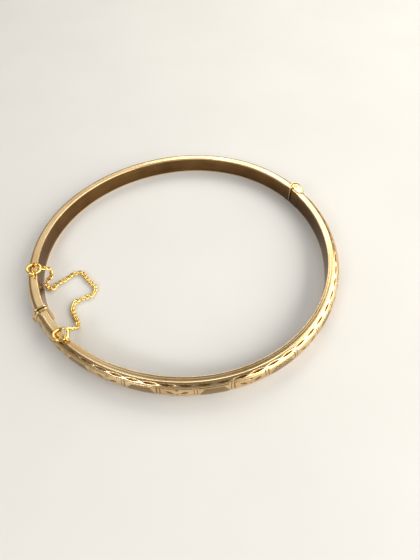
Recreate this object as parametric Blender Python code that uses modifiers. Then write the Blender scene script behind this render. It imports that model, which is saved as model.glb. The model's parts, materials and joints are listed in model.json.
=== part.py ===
"""Hinged bangle bracelet with a folded-spring clasp and a safety chain, in metres, +Z up.

The bangle lies flat on its edge, with the wrist opening along Z. The hinge is at +X, the clasp at -X,
the plain back half at +Y and the engraved front half at -Y. Angles are measured around the wrist from the
hinge seam, anticlockwise seen from above. Depths are measured outwards from the inner wall.
"""

import math

import bmesh
import bpy
import numpy as np
from mathutils import Matrix, Vector

MM = 0.001

# Plan of the bangle: nearly round, a little oval and a little egg-shaped.
OUTER_RADIUS = 32.2 * MM
OVALNESS = 0.0225
OVAL_AT = math.radians(-42)
EGGNESS = 0.0109
EGG_AT = math.radians(-90)
CENTRE_SHIFT = Vector((-0.145, -0.355, 0.0)) * MM

# D section: flat inner wall, flat edges and a domed outside, made of sheet over a lining strip.
BAND_WIDTH = 4.0 * MM
BAND_DEPTH = 2.5 * MM
EDGE_FLAT = 1.0 * MM
SHEET = 0.3 * MM
LINING = 0.3 * MM
SOLDER_GAP = 0.05 * MM
DOME_STEPS = 8
HALF_STEPS = 34

# Hinge: one block on each half, with knuckles that share a pin just behind the seam. The front block
# carries a pointed plate, given as distances from the seam and depths; the back one a lip round the eye.
KNUCKLE_RADIUS = 0.85 * MM
BLOCK_PROUD = 0.15 * MM
BACK_BLOCK_LENGTH = 1.7 * MM
FRONT_BLOCK_LENGTH = 2.6 * MM
PLATE_OUTLINE = ((0.08, 0.3), (1.9, 0.35), (2.5, 1.05), (2.0, 2.1), (0.4, 2.3), (0.08, 2.3))
LIP_THICKNESS = 0.25 * MM
HINGE_GAP = 0.1 * MM
OPENING_RELIEF = math.radians(26)
PIN_RADIUS = 0.35 * MM
PIN_FIT = 0.05 * MM
PIN_BEHIND_SEAM = 0.15 * MM
PIN_DEPTH = 1.5 * MM

# Clasp: a collar on each end, a slotted plate in the back half, a folded tongue on the front half.
CLASP_ANGLE = math.radians(176.4)
CLASP_GAP = 0.3 * MM
COLLAR_THICKNESS = 0.5 * MM
COLLAR_PROUD = 0.35 * MM
PLATE_THICKNESS = 0.4 * MM
TONGUE_SHEET = 0.2 * MM
TONGUE_WIDTH = 1.5 * MM
TONGUE_LENGTH = 4.2 * MM
TONGUE_DEPTH = 0.8 * MM
TONGUE_SPREAD = 0.45 * MM
SLOT_MARGIN = 0.2 * MM
PUSH_THICKNESS = 0.12 * MM
PUSH_PROUD = 0.55 * MM

# Safety chain: an eye and a jump ring on each half, and a fine curb chain between them.
EYE_FROM_CLASP = math.radians(17.0)
EYE_DEPTH = 0.5 * MM
EYE_RADIUS = 0.65 * MM
EYE_LEG = 0.2 * MM
EYE_WIRE = 0.4 * MM
RING_RADIUS = 1.3 * MM
RING_WIRE = 0.4 * MM
RING_HEIGHT = 0.32 * MM
RING_TILT = math.radians(10)
CHAIN_WIDTH = 0.8 * MM
CHAIN_RUNS = 20
RUN_RETREAT = 0.17 * MM
END_RETREAT = 0.42 * MM

# Lay of the chain between the back ring and the front ring: degrees from the clasp seam towards the back
# half, distance inwards from the inner wall and height above the ground, both in millimetres.
CHAIN_LAY = (
    (19.3, 1.9, 3.6), (19.4, 2.7, 2.7), (18.9, 2.5, 1.9), (17.9, 1.5, 1.3), (16.7, 0.8, 0.9),
    (15.3, 0.6, 0.55), (13.9, 0.6, 0.5), (13.1, 1.2, 0.5), (13.7, 2.1, 0.5), (15.1, 3.0, 0.5), (16.2, 4.5, 0.5),
    (18.3, 6.0, 0.5), (19.6, 7.5, 0.5), (17.1, 8.4, 0.5), (12.8, 9.0, 0.5), (9.4, 9.5, 0.5), (5.7, 10.0, 0.5),
    (2.5, 9.9, 0.5), (0.2, 9.0, 0.5), (0.2, 7.7, 0.5), (1.4, 6.2, 0.5), (0.6, 4.9, 0.5), (-1.6, 4.1, 0.5),
    (-5.9, 3.7, 0.5), (-10.0, 3.3, 0.6), (-12.8, 2.8, 1.3), (-14.2, 2.2, 2.5), (-15.0, 1.6, 3.5),
)
LINE_STEPS = 24

ROUND_STEPS = 32
BLOCK_STEPS = 3
TONGUE_STEPS = 4
ARCH_STEPS = 12
RING_STEPS = 28
WIRE_STEPS = 10

# Where the pieces meet, worked out from the sizes above.
BLOCK_HEIGHT = BAND_WIDTH + BLOCK_PROUD
BACK_SHELL_START = BACK_BLOCK_LENGTH + SOLDER_GAP
FRONT_SHELL_END = FRONT_BLOCK_LENGTH + SOLDER_GAP
COLLAR_NEAR = CLASP_GAP / 2
COLLAR_FAR = COLLAR_NEAR + COLLAR_THICKNESS
SHELL_END = COLLAR_FAR + SOLDER_GAP
TONGUE_LOW = (BAND_WIDTH - TONGUE_WIDTH) / 2
TONGUE_HIGH = (BAND_WIDTH + TONGUE_WIDTH) / 2


def outer_radius(angle):
    """Distance from the wrist's centre to the outer surface."""
    oval = OVALNESS * math.cos(2 * (angle - OVAL_AT))
    egg = EGGNESS * math.cos(3 * (angle - EGG_AT))
    return OUTER_RADIUS * (1 + oval + egg)


def outward(angle):
    """Unit normal of the outline at an angle, pointing away from the wrist."""
    step = 1e-4
    ends = [outer_radius(a) * Vector((math.cos(a), math.sin(a), 0)) for a in (angle - step, angle + step)]
    along = (ends[1] - ends[0]).normalized()
    return Vector((along.y, -along.x, 0))


def band_point(angle, depth, height=0.0):
    """A point of the band: depth outwards from the inner wall, height above the ground."""
    outer = outer_radius(angle) * Vector((math.cos(angle), math.sin(angle), 0))
    return outer + (depth - BAND_DEPTH) * outward(angle) + Vector((0, 0, height)) - CENTRE_SHIFT


def along_band(angle, distance):
    """The angle reached by going a distance along the inner wall."""
    return angle + distance / (outer_radius(angle) - BAND_DEPTH)


def d_outline(inset, start_depth):
    """The D section's outer line, as (depth, height), drawn inwards by inset from edge to edge."""
    half = BAND_WIDTH / 2
    dome = BAND_DEPTH - EDGE_FLAT - inset
    rise = half - inset
    points = [(start_depth, half - rise), (EDGE_FLAT, half - rise)]
    for i in range(1, DOME_STEPS):
        turn = math.pi * i / DOME_STEPS - math.pi / 2
        points.append((EDGE_FLAT + dome * math.cos(turn), half + rise * math.sin(turn)))
    return points + [(EDGE_FLAT, half + rise), (start_depth, half + rise)]


def gold(name, colour, roughness):
    material = bpy.data.materials.new(name)
    material.use_nodes = True
    shader = material.node_tree.nodes["Principled BSDF"]
    shader.inputs["Base Color"].default_value = (*colour, 1)
    shader.inputs["Metallic"].default_value = 1.0
    shader.inputs["Roughness"].default_value = roughness
    return material


def link(obj, collection):
    for other in obj.users_collection:
        other.objects.unlink(obj)
    collection.objects.link(obj)
    return obj


def finish(obj, name, material):
    """Names a finished part, gives it its material and shades its round faces smooth."""
    obj.name = name
    obj.data.name = name
    obj.data.materials.clear()
    obj.data.materials.append(material)
    if obj.type == "MESH":
        obj.data.shade_smooth()
        obj.data.set_sharp_from_angle(angle=math.radians(35))
    return link(obj, PARTS)


def curve_from(points, cyclic, dimensions="3D"):
    """A curve object along straight-line points."""
    data = bpy.data.curves.new("line", "CURVE")
    data.dimensions = dimensions
    spline = data.splines.new("POLY")
    spline.points.add(len(points) - 1)
    for corner, point in zip(spline.points, points):
        corner.co = (*point, *(0,) * (3 - len(point)), 1)
    spline.use_cyclic_u = cyclic
    obj = bpy.data.objects.new("line", data)
    bpy.context.scene.collection.objects.link(obj)
    return obj


def meshed(obj):
    """The curve's evaluated shape as a mesh object, its loose caps joined to its sides."""
    bpy.context.view_layer.update()
    mesh = bpy.data.meshes.new_from_object(obj.evaluated_get(bpy.context.evaluated_depsgraph_get()))
    work = bmesh.new()
    work.from_mesh(mesh)
    bmesh.ops.remove_doubles(work, verts=work.verts, dist=1e-7)
    bmesh.ops.recalc_face_normals(work, faces=work.faces)
    work.to_mesh(mesh)
    work.free()
    mesh.transform(obj.matrix_world)
    result = bpy.data.objects.new(obj.name, mesh)
    bpy.context.scene.collection.objects.link(result)
    bpy.data.objects.remove(obj)
    return result


def swept(section, start, end, steps):
    """A section of (depth, height) points carried along the inner wall from one angle to another."""
    profile = curve_from(section, True, "2D")
    profile.data.fill_mode = "NONE"
    turns = [start + (end - start) * i / steps for i in range(steps + 1)]
    path = curve_from([band_point(turn, 0) for turn in turns], False)
    path.data.twist_mode = "Z_UP"
    path.data.bevel_mode = "OBJECT"
    path.data.bevel_object = profile
    path.data.use_fill_caps = True
    result = meshed(path)
    bpy.data.objects.remove(profile)
    return result


def prism(outline, bottom, top):
    """A flat outline of (x, y) points raised from bottom to top."""
    plate = curve_from(outline, True, "2D")
    plate.data.fill_mode = "BOTH"
    plate.data.extrude = (top - bottom) / 2
    plate.location.z = (top + bottom) / 2
    return meshed(plate)


def cylinder(radius, bottom, top, centre):
    mesh = bpy.data.meshes.new("cylinder")
    work = bmesh.new()
    place = Matrix.Translation((centre.x, centre.y, (bottom + top) / 2))
    bmesh.ops.create_cone(work, cap_ends=True, segments=ROUND_STEPS, radius1=radius, radius2=radius,
                          depth=top - bottom, matrix=place)
    work.to_mesh(mesh)
    work.free()
    obj = bpy.data.objects.new("cylinder", mesh)
    bpy.context.scene.collection.objects.link(obj)
    return obj


def boolean(obj, other, operation):
    """Joins or cuts with another piece, which becomes a hidden helper."""
    modifier = obj.modifiers.new(operation.lower(), "BOOLEAN")
    modifier.operation = operation
    modifier.object = other
    other.hide_render = True
    other.display_type = "WIRE"
    other.name = f"helper_{len(HELPERS.objects)}"
    link(other, HELPERS)


def applied(obj):
    """A helper with its own cuts made, ready to be joined to a part."""
    bpy.context.view_layer.update()
    made = bpy.data.meshes.new_from_object(obj.evaluated_get(bpy.context.evaluated_depsgraph_get()))
    obj.modifiers.clear()
    obj.data = made
    return obj


def curved_wire(points, radius):
    """A round wire with closed ends along straight-line points."""
    wire = curve_from(points, False)
    wire.data.bevel_depth = radius
    wire.data.bevel_resolution = 2
    wire.data.use_fill_caps = True
    return meshed(wire)


def place_on_axis(obj, origin):
    """Moves an object's origin onto its joint without moving its shape."""
    obj.data.transform(Matrix.Translation(-origin))
    obj.location = origin


def make_half(name, start, end):
    """The sheet-gold channel of one half and the lining strip that closes it."""
    channel = d_outline(0, 0) + list(reversed(d_outline(SHEET, 0)))
    finish(swept(channel, start, end, HALF_STEPS), f"{name}_outer_shell", BAND_GOLD)
    low = SHEET + SOLDER_GAP
    high = BAND_WIDTH - low
    strip = [(0, low), (LINING, low), (LINING, high), (0, high)]
    finish(swept(strip, start, end, HALF_STEPS), f"{name}_lining", LINING_GOLD)


def hinge_axis():
    return band_point(along_band(0, PIN_BEHIND_SEAM), PIN_DEPTH)


def hinge_point(along, outwards):
    """A point measured from the pin: along the band towards the back half, and outwards."""
    turned = outward(along_band(0, PIN_BEHIND_SEAM))
    return (hinge_axis() + along * Vector((-turned.y, turned.x, 0)) + outwards * turned).xy


def make_hinge_block(name, side, length, knuckles, clearances, extras):
    """A solid end of the band whose knuckles turn on the pin in the other block's clearances."""
    ends = sorted((along_band(0, side * HINGE_GAP / 2), along_band(0, side * length)))
    block = swept(d_outline(0, 0), *ends, BLOCK_STEPS)
    for extra, operation in extras:
        boolean(block, extra, operation)
    axis = hinge_axis()
    for low, high in clearances:
        boolean(block, cylinder(KNUCKLE_RADIUS + HINGE_GAP, low, high, axis), "DIFFERENCE")
    for low, high in knuckles:
        boolean(block, cylinder(KNUCKLE_RADIUS, low, high, axis), "UNION")
    boolean(block, cylinder(PIN_RADIUS + PIN_FIT, -MM, BLOCK_HEIGHT + MM, axis), "DIFFERENCE")
    return finish(block, name, HINGE_GOLD)


def make_hinge():
    layer = BLOCK_HEIGHT / 3
    gap = HINGE_GAP / 2
    low, mid, high = (0, layer - gap), (layer + gap, 2 * layer - gap), (2 * layer + gap, BLOCK_HEIGHT)
    seam = HINGE_GAP / 2 - PIN_BEHIND_SEAM

    lip = cylinder(KNUCKLE_RADIUS + HINGE_GAP + LIP_THICKNESS, high[0], BLOCK_HEIGHT, hinge_axis())
    lip_radius = 2 * (KNUCKLE_RADIUS + LIP_THICKNESS)
    behind = [hinge_point(along, out) for along, out in ((-lip_radius, -lip_radius), (seam, -lip_radius),
                                                         (seam, lip_radius), (-lip_radius, lip_radius))]
    boolean(lip, prism(behind, -MM, BLOCK_HEIGHT + MM), "DIFFERENCE")
    extras = ((applied(lip), "UNION"),)
    clearances = ((-MM, low[1] + 2 * gap), (high[0] - 2 * gap, BLOCK_HEIGHT + MM))
    make_hinge_block("back_hinge_block", 1, BACK_BLOCK_LENGTH, (mid,), clearances, extras)

    plate = [band_point(along_band(0, -along * MM), depth * MM).xy for along, depth in PLATE_OUTLINE]
    reach = 2 * BAND_DEPTH
    opened = Vector((-math.sin(OPENING_RELIEF), math.cos(OPENING_RELIEF))) * reach
    relief = [hinge_point(along, out) for along, out in ((reach, 0), (-PIN_BEHIND_SEAM, 0), opened, (reach, reach))]
    extras = ((prism(plate, SOLDER_GAP, BLOCK_HEIGHT), "UNION"), (prism(relief, -MM, BLOCK_HEIGHT + MM), "DIFFERENCE"))
    clearances = ((low[1], high[0]),)
    make_hinge_block("front_hinge_block", -1, FRONT_BLOCK_LENGTH, (low, high), clearances, extras)

    pin = cylinder(PIN_RADIUS, SOLDER_GAP, BLOCK_HEIGHT, hinge_axis())
    finish(pin, "hinge_pin", HINGE_GOLD)


def clasp_face(side, distance):
    """The angle of a plane parallel to the clasp seam: side is -1 towards the back half, 1 the front."""
    return along_band(CLASP_ANGLE, side * distance)


def plug_section():
    """The space inside the shell and above the lining, with room for solder."""
    return d_outline(SHEET + SOLDER_GAP, LINING + SOLDER_GAP)


def make_collar(name, side):
    """The wire frame at the mouth of one half, proud all round but flush with the lower edge."""
    frame = [(depth, max(height, 0)) for depth, height in d_outline(-COLLAR_PROUD, -COLLAR_PROUD)]
    collar = swept(frame, *sorted((clasp_face(side, COLLAR_NEAR), clasp_face(side, COLLAR_FAR))), 1)
    ends = sorted((clasp_face(side, COLLAR_NEAR - MM), clasp_face(side, COLLAR_FAR + MM)))
    boolean(collar, swept(plug_section(), *ends, 1), "DIFFERENCE")
    finish(collar, name, COLLAR_GOLD)


def make_clasp():
    make_collar("back_collar", -1)
    make_collar("front_collar", 1)
    for name, side in (("back_throat_plate", -1), ("front_end_plate", 1)):
        ends = sorted((clasp_face(side, SHELL_END), clasp_face(side, SHELL_END + PLATE_THICKNESS)))
        plate = swept(plug_section(), *ends, 1)
        if side < 0:
            low, high = TONGUE_LOW - SLOT_MARGIN, TONGUE_HIGH + SLOT_MARGIN
            near = TONGUE_DEPTH - SLOT_MARGIN
            far = TONGUE_DEPTH + 2 * TONGUE_SHEET + TONGUE_SPREAD + SLOT_MARGIN
            slot = [(near, low), (far, low), (far, high), (near, high)]
            around = clasp_face(side, SHELL_END + PLATE_THICKNESS + MM), clasp_face(side, 0)
            boolean(plate, swept(slot, *around, 1), "DIFFERENCE")
        finish(plate, name, COLLAR_GOLD)


def make_tongue():
    """The snap tongue: a strip fixed to the front half and a sprung leaf folded back from its tip."""
    tip = COLLAR_NEAR + TONGUE_LENGTH
    outside = TONGUE_DEPTH + TONGUE_SHEET
    strip = [(TONGUE_DEPTH, TONGUE_LOW), (outside, TONGUE_LOW), (outside, TONGUE_HIGH),
             (TONGUE_DEPTH, TONGUE_HIGH)]
    sweep = swept(strip, clasp_face(-1, tip), clasp_face(1, COLLAR_FAR), TONGUE_STEPS)
    finish(sweep, "tongue_strip", SPRING_GOLD)

    fold = band_point(clasp_face(-1, tip), outside + TONGUE_SHEET)
    free = -PUSH_THICKNESS / 2
    leaf_depths = (outside + SOLDER_GAP, outside + TONGUE_SPREAD)
    inner = [band_point(clasp_face(-1, tip), leaf_depths[0]), band_point(clasp_face(-1, free), leaf_depths[1])]
    across = (inner[1] - inner[0]).normalized().cross(Vector((0, 0, 1))) * TONGUE_SHEET
    if across.dot(outward(CLASP_ANGLE)) < 0:
        across = -across
    leaf = prism([point.xy for point in (inner[0], inner[1], inner[1] + across, inner[0] + across)],
                 TONGUE_LOW, TONGUE_HIGH)
    foot, top = leaf_depths[1] + TONGUE_SHEET / 2, BAND_DEPTH + PUSH_PROUD
    push = [band_point(clasp_face(-1, s), depth)
            for s, depth in ((-free, foot), (free, foot), (free, top), (-free, top))]
    boolean(leaf, prism([point.xy for point in push], TONGUE_LOW, TONGUE_HIGH), "UNION")
    place_on_axis(finish(leaf, "tongue_leaf", SPRING_GOLD), Vector((fold.x, fold.y, BAND_WIDTH / 2)))


def eye_frame(side):
    """An eye's foot on the top edge, and the directions from it along the band and outwards."""
    angle = CLASP_ANGLE + side * EYE_FROM_CLASP
    across = outward(angle)
    return band_point(angle, EYE_DEPTH, BAND_WIDTH), across.cross(Vector((0, 0, 1))), across


def make_eye(name, side):
    """A small staple of wire on the flat top edge, standing along the band."""
    foot, along, _ = eye_frame(side)
    base = foot + Vector((0, 0, SOLDER_GAP))
    points = [base - EYE_RADIUS * along]
    for i in range(ARCH_STEPS + 1):
        turn = math.pi * i / ARCH_STEPS
        lift = Vector((0, 0, EYE_LEG + EYE_RADIUS * math.sin(turn)))
        points.append(base - EYE_RADIUS * math.cos(turn) * along + lift)
    points.append(base + EYE_RADIUS * along)
    finish(curved_wire(points, EYE_WIRE / 2), name, CHAIN_GOLD)


def make_ring(name, side):
    """A jump ring through the eye, lying over the top edge and drooping into the wrist opening."""
    foot, along, _ = eye_frame(side)
    eye = foot + Vector((0, 0, RING_HEIGHT))
    bpy.ops.mesh.primitive_torus_add(major_segments=RING_STEPS, minor_segments=WIRE_STEPS,
                                     major_radius=RING_RADIUS, minor_radius=RING_WIRE / 2)
    ring = bpy.context.object
    lean = Matrix.Rotation(RING_TILT, 4, along)
    ring.data.transform(Matrix.Translation(along * RING_RADIUS) @ lean)
    ring.location = eye
    finish(ring, name, CHAIN_GOLD)


def ring_low_side(side):
    """The middle of a jump ring's wire where the chain hangs from it."""
    foot, along, across = eye_frame(side)
    droop = -RING_RADIUS * (math.cos(RING_TILT) * across + math.sin(RING_TILT) * Vector((0, 0, 1)))
    return foot + Vector((0, 0, RING_HEIGHT)) + RING_RADIUS * along + droop


def chain_line():
    """The chain's lay as one smooth line, finely divided."""
    lay = [np.array(band_point(CLASP_ANGLE - math.radians(turn), -inside * MM, height * MM))
           for turn, inside, height in CHAIN_LAY]
    knots = [np.array(ring_low_side(-1)), *lay, np.array(ring_low_side(1))]
    knots = [2 * knots[0] - knots[1], *knots, 2 * knots[-1] - knots[-2]]
    line = []
    for a, b, c, d in zip(knots, knots[1:], knots[2:], knots[3:]):
        for t in np.arange(LINE_STEPS) / LINE_STEPS:
            line.append((2 * b + (c - a) * t + (2 * a - 5 * b + 4 * c - d) * t**2
                         + (3 * b - a - 3 * c + d) * t**3) / 2)
    return line + [knots[-2]]


def stepped(line, stride):
    """Points one stride apart, as the crow flies, along a line."""
    points = [line[0]]
    for start, end in zip(line, line[1:]):
        while np.linalg.norm(end - points[-1]) >= stride:
            low, high = 0.0, 1.0
            for _ in range(30):
                middle = (low + high) / 2
                if np.linalg.norm(start + (end - start) * middle - points[-1]) < stride:
                    low = middle
                else:
                    high = middle
            points.append(start + (end - start) * high)
    return points


def chain_pivots():
    """The pivots between the chain's runs, evenly spaced so that the last meets the front ring."""
    line = chain_line()
    low, high = 0.5 * MM, 5 * MM
    for _ in range(40):
        middle = (low + high) / 2
        if len(stepped(line, middle)) > CHAIN_RUNS:
            low = middle
        else:
            high = middle
    return [Vector(point) for point in stepped(line, low)[:CHAIN_RUNS]] + [Vector(line[-1])]


def make_chain():
    """The curb chain as short stiff runs of two links, each turning on the links beside it."""
    pivots = chain_pivots()
    for number, (start, end) in enumerate(zip(pivots, pivots[1:]), 1):
        before = END_RETREAT if number == 1 else RUN_RETREAT
        after = END_RETREAT if number == CHAIN_RUNS else RUN_RETREAT
        along = (end - start).normalized()
        low, high = start + along * before, end - along * after
        mesh = bpy.data.meshes.new("run")
        work = bmesh.new()
        radius = CHAIN_WIDTH / 2
        bmesh.ops.create_cone(work, cap_ends=True, segments=WIRE_STEPS, radius1=radius, radius2=radius,
                              depth=(high - low).length)
        work.to_mesh(mesh)
        work.free()
        run = bpy.data.objects.new("run", mesh)
        bpy.context.scene.collection.objects.link(run)
        held = start if number <= CHAIN_RUNS // 2 else end
        turn = along.to_track_quat("Z", "Y").to_matrix().to_4x4()
        mesh.transform(Matrix.Translation((low + high) / 2 - held) @ turn)
        run.location = held
        rounding = run.modifiers.new("round_ends", "BEVEL")
        rounding.width = 0.7 * radius
        rounding.segments = 2
        rounding.limit_method = "ANGLE"
        rounding.angle_limit = math.radians(60)
        finish(run, f"chain_run_{number:02d}", CHAIN_GOLD)


for old in list(bpy.data.objects):
    bpy.data.objects.remove(old)

PARTS = bpy.data.collections.new("hinged_bangle")
HELPERS = bpy.data.collections.new("helpers")
bpy.context.scene.collection.children.link(PARTS)
bpy.context.scene.collection.children.link(HELPERS)

BAND_GOLD = gold("pale_gold_polished", (0.66, 0.47, 0.26), 0.22)
LINING_GOLD = gold("pale_gold_lining", (0.60, 0.42, 0.22), 0.15)
HINGE_GOLD = gold("pale_gold_cast", (0.70, 0.52, 0.30), 0.28)
COLLAR_GOLD = gold("pale_gold_wire", (0.72, 0.54, 0.32), 0.2)
SPRING_GOLD = gold("hard_gold_spring", (0.70, 0.50, 0.26), 0.3)
CHAIN_GOLD = gold("yellow_gold_chain", (0.80, 0.53, 0.18), 0.25)

make_half("back", along_band(0, BACK_SHELL_START), clasp_face(-1, SHELL_END))
make_half("front", clasp_face(1, SHELL_END), along_band(2 * math.pi, -FRONT_SHELL_END))
make_hinge()
make_clasp()
make_tongue()
for prefix, way in (("back", -1), ("front", 1)):
    make_eye(f"{prefix}_chain_eye", way)
    make_ring(f"{prefix}_jump_ring", way)
make_chain()
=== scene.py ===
import json
import math

import bmesh
import bpy
import numpy as np
from mathutils import Matrix, Vector


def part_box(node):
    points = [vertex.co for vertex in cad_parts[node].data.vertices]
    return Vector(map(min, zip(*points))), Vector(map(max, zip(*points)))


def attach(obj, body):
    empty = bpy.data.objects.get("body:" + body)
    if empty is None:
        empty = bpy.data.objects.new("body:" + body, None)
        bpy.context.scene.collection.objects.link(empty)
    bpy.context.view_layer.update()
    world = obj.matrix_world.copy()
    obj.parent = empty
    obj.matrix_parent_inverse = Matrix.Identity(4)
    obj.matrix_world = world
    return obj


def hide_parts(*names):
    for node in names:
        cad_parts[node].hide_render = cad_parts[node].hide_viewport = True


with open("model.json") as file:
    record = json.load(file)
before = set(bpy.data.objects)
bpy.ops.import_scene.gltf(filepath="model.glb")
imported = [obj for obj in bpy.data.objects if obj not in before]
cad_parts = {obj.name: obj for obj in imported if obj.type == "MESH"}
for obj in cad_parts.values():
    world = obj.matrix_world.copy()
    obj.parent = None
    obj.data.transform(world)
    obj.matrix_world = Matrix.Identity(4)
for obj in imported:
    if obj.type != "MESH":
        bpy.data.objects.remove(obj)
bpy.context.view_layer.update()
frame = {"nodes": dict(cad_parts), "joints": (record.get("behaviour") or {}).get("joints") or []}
MM = 0.001

# ---------------------------------------------------------------------------------------------------
# The table, the light and the camera. The bangle lies on a plain pale table top of lacquered board,
# lit by soft boxes, and it is looked at from above its clasp end.
# ---------------------------------------------------------------------------------------------------
TABLE_HALF = 600 * MM
TABLE_DROP = 0.02 * MM
TABLE_PALE, TABLE_PALER, MOTTLE_SIZE = "#D6D4D0", "#DFDDD9", 30 * MM
ROOM_GREY, ROOM_LIGHT = "#E4E3E0", 0.3
CAMERA_PLACE = Vector((-21.86, -48.21, 65.54)) * MM
CAMERA_HEADING, CAMERA_DOWN, CAMERA_ROLL = math.radians(60), math.radians(54.73), math.radians(-4.10)
CAMERA_LENS, CAMERA_FILM = 24.43, 36
CAMERA_NEAREST, CAMERA_FARTHEST = 2 * MM, 5000 * MM
# The sockets of a Mix node that mixes colours.
MIX_FACTOR, MIX_FIRST, MIX_SECOND, MIX_RESULT = 0, 6, 7, 2


def linear(colour, alpha=1.0):
    """The linear colour of an sRGB hex value."""
    parts = [int(colour[i:i + 2], 16) / 255 for i in (1, 3, 5)]
    return (*(p / 12.92 if p <= 0.04045 else ((p + 0.055) / 1.055) ** 2.4 for p in parts), alpha)


def add_node(tree, kind, inputs=(), **settings):
    """One shader node with its settings, and a value or another node's output for each input named."""
    node = tree.nodes.new("ShaderNode" + kind)
    for setting, value in settings.items():
        setattr(node, setting, value)
    for socket, value in dict(inputs).items():
        if isinstance(value, bpy.types.NodeSocket):
            tree.links.new(value, node.inputs[socket])
        else:
            node.inputs[socket].default_value = value
    return node


def new_material(name):
    """A material with an empty Principled shader, its node tree and that shader."""
    material = bpy.data.materials.new(name)
    material.use_nodes = True
    return material, material.node_tree, material.node_tree.nodes["Principled BSDF"]


def lacquered_board():
    """Matt lacquered board: pale, faintly mottled, with no gloss of its own."""
    material, tree, shader = new_material("lacquered_board")
    place = add_node(tree, "TexCoord").outputs["Object"]
    mottle = add_node(tree, "TexNoise", {"Vector": place, "Scale": 1 / MOTTLE_SIZE, "Detail": 3.0})
    tint = add_node(tree, "Mix", {MIX_FACTOR: mottle.outputs["Fac"], MIX_FIRST: linear(TABLE_PALE),
                                  MIX_SECOND: linear(TABLE_PALER)}, data_type="RGBA")
    tree.links.new(tint.outputs[MIX_RESULT], shader.inputs["Base Color"])
    shader.inputs["Roughness"].default_value = 0.6
    return material


def soft_box(name, azimuth, elevation, distance, size, watts, colour):
    """A rectangular studio light that faces the bangle: angles in degrees, lengths in metres."""
    light = bpy.data.lights.new(name, "AREA")
    light.shape = "RECTANGLE"
    light.size, light.size_y = size
    light.energy = watts
    light.color = linear(colour)[:3]
    box = bpy.data.objects.new(name, light)
    bpy.context.scene.collection.objects.link(box)
    turn, lift = math.radians(azimuth), math.radians(elevation)
    toward = Vector((math.cos(turn) * math.cos(lift), math.sin(turn) * math.cos(lift), math.sin(lift)))
    box.location = toward * distance
    box.rotation_euler = toward.to_track_quat("Z", "Y").to_euler()


corners = [(x * TABLE_HALF, y * TABLE_HALF, -TABLE_DROP) for x, y in ((-1, -1), (1, -1), (1, 1), (-1, 1))]
table = bpy.data.objects.new("table_top", bpy.data.meshes.new("table_top"))
table.data.from_pydata(corners, [], [(0, 1, 2, 3)])
table.data.materials.append(lacquered_board())
bpy.context.scene.collection.objects.link(table)

soft_box("far_softbox", azimuth=46, elevation=41, distance=0.42, size=(0.26, 0.20), watts=0.58,
         colour="#FFFBF2")
soft_box("back_softbox", azimuth=96, elevation=46, distance=0.42, size=(0.40, 0.30), watts=0.28,
         colour="#FFFCF5")
soft_box("right_softbox", azimuth=-46, elevation=28, distance=0.38, size=(0.66, 0.28), watts=2.7,
         colour="#FFFCF5")
soft_box("left_softbox", azimuth=200, elevation=36, distance=0.38, size=(0.16, 0.10), watts=0.4,
         colour="#F8FAFF")

world = bpy.data.worlds.new("studio_room")
bpy.context.scene.world = world
world.use_nodes = True
room_light = world.node_tree.nodes["Background"]
room_light.inputs["Color"].default_value = linear(ROOM_GREY)
room_light.inputs["Strength"].default_value = ROOM_LIGHT
bpy.context.scene.view_settings.view_transform = "Standard"

camera = bpy.data.objects.new("camera", bpy.data.cameras.new("camera"))
bpy.context.scene.collection.objects.link(camera)
bpy.context.scene.camera = camera
camera.data.sensor_fit = "VERTICAL"
camera.data.sensor_height = CAMERA_FILM
camera.data.lens = CAMERA_LENS
camera.data.clip_start = CAMERA_NEAREST
camera.data.clip_end = CAMERA_FARTHEST
camera.matrix_world = (Matrix.Translation(CAMERA_PLACE)
                       @ Matrix.Rotation(CAMERA_HEADING - math.pi / 2, 4, "Z")
                       @ Matrix.Rotation(math.pi / 2 - CAMERA_DOWN, 4, "X")
                       @ Matrix.Rotation(CAMERA_ROLL, 4, "Z"))

# ---------------------------------------------------------------------------------------------------
# The plain back half: a channel of pale nine carat gold sheet, 0.3 mm thick, drawn to a D section,
# bent to the wrist's oval and polished. It has no engraving, only the fine marks of wear.
# ---------------------------------------------------------------------------------------------------
OUTER_RADIUS, OVALNESS, EGGNESS = 32.2 * MM, 0.0225, 0.0109
OVAL_AT, EGG_AT = math.radians(-42), math.radians(-90)
CENTRE_SHIFT = np.array((-0.145, -0.355)) * MM
BAND_WIDTH, BAND_DEPTH, EDGE_FLAT, SHEET = 4.0 * MM, 2.5 * MM, 1.0 * MM, 0.3 * MM
CLASP_ANGLE = math.radians(176.4)
SHELL_FROM_CLASP = 0.70 * MM
BACK_FROM_HINGE, FRONT_FROM_HINGE = 1.75 * MM, 2.65 * MM
EDGE_ROUND = 0.12 * MM
EDGE_LINES, LINE_WIDTH, LINE_DEPTH = (0.36 * MM, 0.76 * MM), 0.06 * MM, 0.012 * MM
BACK_STEPS, FLAT_STEPS, BACK_DOME_STEPS = 520, 24, 48
INSIDE_FLAT_STEPS, INSIDE_DOME_STEPS = 2, 16
BAND_GOLD, BAND_GOLD_DEEP = "#E8CEA2", "#CCA978"
STREAK_LENGTH, STREAK_WIDTH, SMALL_PIECE_STREAK, TONE_DRIFT = 14 * MM, 0.2 * MM, 0.9 * MM, 7.0 * MM


def outer_radius(angle):
    """Distance from the wrist's centre to the outer surface."""
    oval = OVALNESS * np.cos(2 * (angle - OVAL_AT))
    egg = EGGNESS * np.cos(3 * (angle - EGG_AT))
    return OUTER_RADIUS * (1 + oval + egg)


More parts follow.
